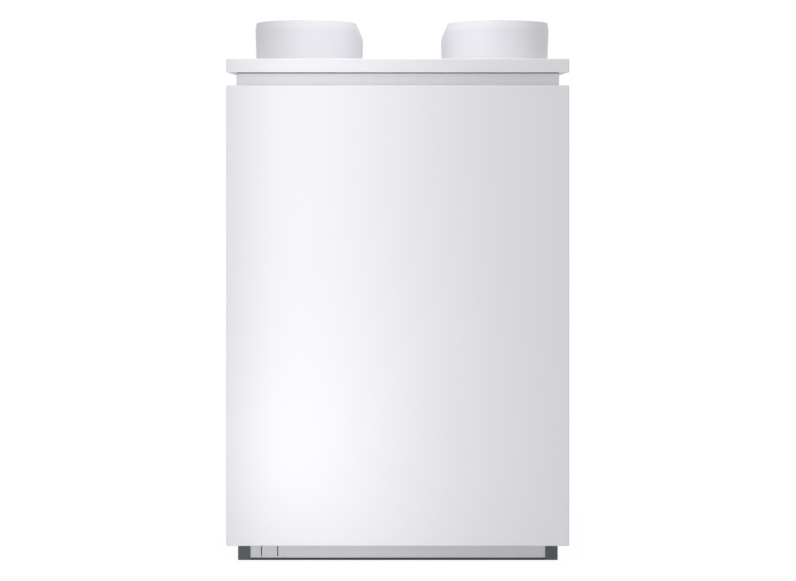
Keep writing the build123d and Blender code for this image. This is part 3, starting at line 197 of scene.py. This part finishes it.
for name, thing in nodes.items():
    if name.startswith("foot_pad"):
        finishOf[name] = finishes["rubber"]
    if name.startswith("foot_spindle"):
        finishOf[name] = finishes["brightSteel"]
    thing.data.materials.clear()
    thing.data.materials.append(finishOf[name])
print("finishes on", len(nodes), "nodes")


def newPiece(name, verts, faces, finish, smooth=False):
    mesh = bpy.data.meshes.new(name)
    mesh.from_pydata(verts, [], faces)
    mesh.validate()
    shape = bmesh.new()
    shape.from_mesh(mesh)
    bmesh.ops.recalc_face_normals(shape, faces=shape.faces)
    shape.to_mesh(mesh)
    shape.free()
    for face in mesh.polygons:
        face.use_smooth = smooth
    piece = bpy.data.objects.new(name, mesh)
    bpy.context.scene.collection.objects.link(piece)
    mesh.materials.append(finishes[finish])
    return piece


def blockMesh(low, high):
    verts = [(x, y, z) for x in (low[0], high[0])
             for y in (low[1], high[1]) for z in (low[2], high[2])]
    faces = [(0, 1, 3, 2), (4, 6, 7, 5), (0, 4, 5, 1), (2, 3, 7, 6), (0, 2, 6, 4), (1, 5, 7, 3)]
    return verts, faces


def joinMeshes(parts):
    verts, faces = [], []
    for partVerts, partFaces in parts:
        shift = len(verts)
        verts.extend(partVerts)
        faces.extend([tuple(index + shift for index in face) for face in partFaces])
    return verts, faces


# Acoustic foam in the front panel, with an egg-crate face towards the machines.
# The waves stop at a flat margin along the sides and ends.
foamPad = {"pitch": 0.030, "depth": 0.007, "perPitch": 6, "edge": 0.0005,
           "waveHalfWidth": 0.34, "waveEndMargin": 0.018}


def foamWave(along):
    return math.sin(2 * math.pi * along / foamPad["pitch"])


def makeFoamPad():
    low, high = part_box("front_lining")
    low = [low[axis] + foamPad["edge"] for axis in range(3)]
    high = [high[axis] - foamPad["edge"] for axis in range(3)]
    step = foamPad["pitch"] / foamPad["perPitch"]
    countX = int((high[0] - low[0]) / step)
    countZ = int((high[2] - low[2]) / step)
    waveLow = low[2] + foamPad["waveEndMargin"]
    waveHigh = high[2] - foamPad["waveEndMargin"]
    verts, faces = [], []
    for row in range(countZ + 1):
        for column in range(countX + 1):
            x = low[0] + (high[0] - low[0]) * column / countX
            z = low[2] + (high[2] - low[2]) * row / countZ
            inner = abs(x) < foamPad["waveHalfWidth"] and waveLow < z < waveHigh
            drop = foamPad["depth"] * (1 - foamWave(x) * foamWave(z)) / 2 if inner else 0
            verts.append((x, high[1] - drop, z))
    width = countX + 1
    for row in range(countZ):
        for column in range(countX):
            start = row * width + column
            faces.append((start, start + width, start + width + 1, start + 1))
    rim = list(range(width))
    rim += [row * width + countX for row in range(1, countZ + 1)]
    rim += [countZ * width + column for column in range(countX - 1, -1, -1)]
    rim += [row * width for row in range(countZ - 1, 0, -1)]
    backStart = len(verts)
    verts.extend([(verts[index][0], low[1], verts[index][2]) for index in rim])
    for place, index in enumerate(rim):
        after = (place + 1) % len(rim)
        faces.append((index, rim[after], backStart + after, backStart + place))
    faces.append(tuple(backStart + place for place in range(len(rim))))
    foam = newPiece("foamPad", verts, faces, "foamGrey", smooth=True)
    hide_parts("front_lining")
    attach(foam, "front_panel")


makeFoamPad()
print("foam pad made")

# Evaporator: a dense pack of thin fins in place of the coarse one
finPack = {"pitch": 0.004, "thickness": 0.0006}


def makeFinPack():
    low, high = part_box("evaporator_fins")
    count = int((high[1] - low[1]) / finPack["pitch"])
    parts = []
    for number in range(count + 1):
        y = low[1] + number * (high[1] - low[1] - finPack["thickness"]) / count
        parts.append(blockMesh((low[0], y, low[2]), (high[0], y + finPack["thickness"], high[2])))
    pack = newPiece("finPack", *joinMeshes(parts), "finAlloy")
    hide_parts("evaporator_fins")
    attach(pack, "cabinet")


makeFinPack()
print("fin pack made")

# Threads on the levelling feet. The profile gives each corner's radius and its rise in pitches.
footThread = {"pitch": 0.0015, "root": 0.00495, "crest": 0.00518, "low": 0.0188, "high": 0.0496,
              "segments": 24,
              "profile": (("root", 0), ("crest", 0.35), ("crest", 0.6), ("root", 0.95))}


def makeFootThreads():
    corners = len(footThread["profile"])
    length = footThread["high"] - footThread["low"]
    steps = int((length / footThread["pitch"] - 1) * footThread["segments"])
    for name in [node for node in nodes if node.startswith("foot_spindle")]:
        low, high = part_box(name)
        centreX, centreY = (low[0] + high[0]) / 2, (low[1] + high[1]) / 2
        verts, faces = [], []
        for step in range(steps + 1):
            turn = 2 * math.pi * step / footThread["segments"]
            z = footThread["low"] + footThread["pitch"] * step / footThread["segments"]
            for part, rise in footThread["profile"]:
                radius = footThread[part]
                verts.append((centreX + radius * math.cos(turn), centreY + radius * math.sin(turn),
                              z + rise * footThread["pitch"]))
        for step in range(steps):
            start = step * corners
            for index in range(corners):
                after = (index + 1) % corners
                faces.append((start + index, start + corners + index, start + corners + after,
                              start + after))
        faces.append(tuple(range(corners)))
        faces.append(tuple(steps * corners + index for index in reversed(range(corners))))
        thread = newPiece(name.replace("spindle", "thread"), verts, faces, "brightSteel")
        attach(thread, name.replace("foot_spindle", "foot"))


makeFootThreads()
print("foot threads made")

# Painted shade of the star sockets in the flat screw heads at the back, as thin black star plates:
# a row up each side, one across the lid's edge
paintedSocketShade = {"radius": 0.0019, "innerShare": 0.72, "depth": 0.0006, "proud": 0.00015,
               "points": 6, "backY": 0.591, "sideX": 0.372, "sideLow": 0.081, "sideRise": 0.993,
               "perSide": 5, "lidX": (-0.3, -0.1, 0.1, 0.3), "lidZ": 1.1495}


def makePaintedSocketShades():
    gaps = paintedSocketShade["perSide"] - 1
    places = [(side * paintedSocketShade["sideX"],
               paintedSocketShade["sideLow"] + paintedSocketShade["sideRise"] * step / gaps)
              for side in (-1, 1) for step in range(paintedSocketShade["perSide"])]
    places += [(x, paintedSocketShade["lidZ"]) for x in paintedSocketShade["lidX"]]
    inside = paintedSocketShade["backY"] - paintedSocketShade["depth"]
    outside = paintedSocketShade["backY"] + paintedSocketShade["proud"]
    count = paintedSocketShade["points"] * 2
    parts = []
    for x, z in places:
        ring = []
        for point in range(count):
            turn = 2 * math.pi * point / count
            radius = paintedSocketShade["radius"] * (1 if point % 2 else paintedSocketShade["innerShare"])
            ring.append((x + radius * math.cos(turn), z + radius * math.sin(turn)))
        verts = [(px, inside, pz) for px, pz in ring]
        verts += [(px, outside, pz) for px, pz in ring]
        faces = [tuple(range(count)), tuple(range(2 * count - 1, count - 1, -1))]
        faces += [(point, (point + 1) % count, (point + 1) % count + count, point + count)
                  for point in range(count)]
        parts.append((verts, faces))
    # the black rubber finish paints the sockets' shade; the stars are solid plates standing 0.15
    # mm proud, not holes
    socketShades = newPiece("paintedSocketShades", *joinMeshes(parts), "rubber")
    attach(socketShades, "cabinet")


makePaintedSocketShades()
print("screw recesses made")

# Studio: an even sky and a pale floor that both show plain white to the camera and in reflections
studio = {"skyPower": 0.62, "skyWhite": 1, "skyColour": (1, 1, 1, 1),
          "floorGlow": 0.9, "floorWhite": 1.06, "floorColour": (0.82, 0.82, 0.83, 1),
          "floorReach": 9, "floorDrop": 0.0005}


def greaterOf(tree, first, second):
    greater = tree.nodes.new("ShaderNodeMath")
    greater.operation = "MAXIMUM"
    tree.links.new(first, greater.inputs[0])
    tree.links.new(second, greater.inputs[1])
    return greater.outputs[0]


def makeBackground(tree, power):
    background = tree.nodes.new("ShaderNodeBackground")
    background.inputs["Color"].default_value = studio["skyColour"]
    background.inputs["Strength"].default_value = power
    return background.outputs[0]


def makeSky():
    world = bpy.data.worlds.new("sky")
    bpy.context.scene.world = world
    world.use_nodes = True
    tree = world.node_tree
    tree.nodes.clear()
    out = tree.nodes.new("ShaderNodeOutputWorld")
    mix = tree.nodes.new("ShaderNodeMixShader")
    rays = tree.nodes.new("ShaderNodeLightPath").outputs
    either = greaterOf(tree, rays["Is Camera Ray"], rays["Is Glossy Ray"])
    every = greaterOf(tree, either, rays["Is Transmission Ray"])
    tree.links.new(every, mix.inputs["Fac"])
    tree.links.new(makeBackground(tree, studio["skyPower"]), mix.inputs[1])
    tree.links.new(makeBackground(tree, studio["skyWhite"]), mix.inputs[2])
    tree.links.new(mix.outputs[0], out.inputs["Surface"])


def makeFloor():
    mat = bpy.data.materials.new("paleFloor")
    mat.use_nodes = True
    tree = mat.node_tree
    tree.nodes.clear()
    out = tree.nodes.new("ShaderNodeOutputMaterial")
    matt = tree.nodes.new("ShaderNodeBsdfDiffuse")
    matt.inputs["Color"].default_value = studio["floorColour"]
    glow = tree.nodes.new("ShaderNodeEmission")
    glow.inputs["Strength"].default_value = studio["floorWhite"]
    mix = tree.nodes.new("ShaderNodeMixShader")
    share = tree.nodes.new("ShaderNodeMath")
    share.operation = "MULTIPLY"
    share.inputs[1].default_value = studio["floorGlow"]
    rays = tree.nodes.new("ShaderNodeLightPath").outputs
    tree.links.new(greaterOf(tree, rays["Is Camera Ray"], rays["Is Glossy Ray"]), share.inputs[0])
    tree.links.new(share.outputs[0], mix.inputs["Fac"])
    tree.links.new(matt.outputs[0], mix.inputs[1])
    tree.links.new(glow.outputs[0], mix.inputs[2])
    tree.links.new(mix.outputs[0], out.inputs["Surface"])
    reach = studio["floorReach"]
    corners = [(-reach, -reach, 0), (reach, -reach, 0), (reach, reach, 0), (-reach, reach, 0)]
    mesh = bpy.data.meshes.new("floor")
    mesh.from_pydata(corners, [], [(0, 1, 2, 3)])
    mesh.materials.append(mat)
    floor = bpy.data.objects.new("floor", mesh)
    floor.location.z = -studio["floorDrop"]
    bpy.context.scene.collection.objects.link(floor)


# Lamps: a tall narrow one left of the middle, a short one below it, a square one overhead
lampLooks = {
    "keyLamp": {"power": 2.5, "place": (-0.32, -0.99, 0.95), "size": (0.08, 1.7),
                "tilt": 90, "turn": -54},
    "lowLamp": {"power": 0.33, "place": (-0.32, -0.99, 0.16), "size": (0.08, 0.3),
                "tilt": 90, "turn": -54},
    "topLamp": {"power": 4, "place": (0.02, -0.6, 2.1), "size": (0.4, 0.4),
                "tilt": 20, "turn": 0},
}


def makeLamp(name, look):
    data = bpy.data.lights.new(name, "AREA")
    data.shape = "RECTANGLE"
    data.size, data.size_y = look["size"]
    data.energy = look["power"]
    lamp = bpy.data.objects.new(name, data)
    lamp.location = look["place"]
    lamp.rotation_euler = (math.radians(look["tilt"]), 0, math.radians(look["turn"]))
    lamp.visible_camera = False
    bpy.context.scene.collection.objects.link(lamp)


makeSky()
makeFloor()
for name, look in lampLooks.items():
    makeLamp(name, look)
print("studio lit")

# Camera: level, in front of the cabinet, with the shift of the photograph's framing
cameraView = {"place": (0.0103, -3.887, 1.0086), "lens": 65.26, "shift": (-0.0054, -0.2054),
              "sensor": 36, "reach": 60, "tilt": 90}
lensData = bpy.data.cameras.new("camera")
lensData.lens = cameraView["lens"]
lensData.sensor_width = cameraView["sensor"]
lensData.shift_x, lensData.shift_y = cameraView["shift"]
lensData.clip_end = cameraView["reach"]
camera = bpy.data.objects.new("camera", lensData)
camera.location = cameraView["place"]
camera.rotation_euler = (math.radians(cameraView["tilt"]), 0, 0)
bpy.context.scene.collection.objects.link(camera)
bpy.context.scene.camera = camera
bpy.context.scene.view_settings.view_transform = "Standard"
print("camera set")
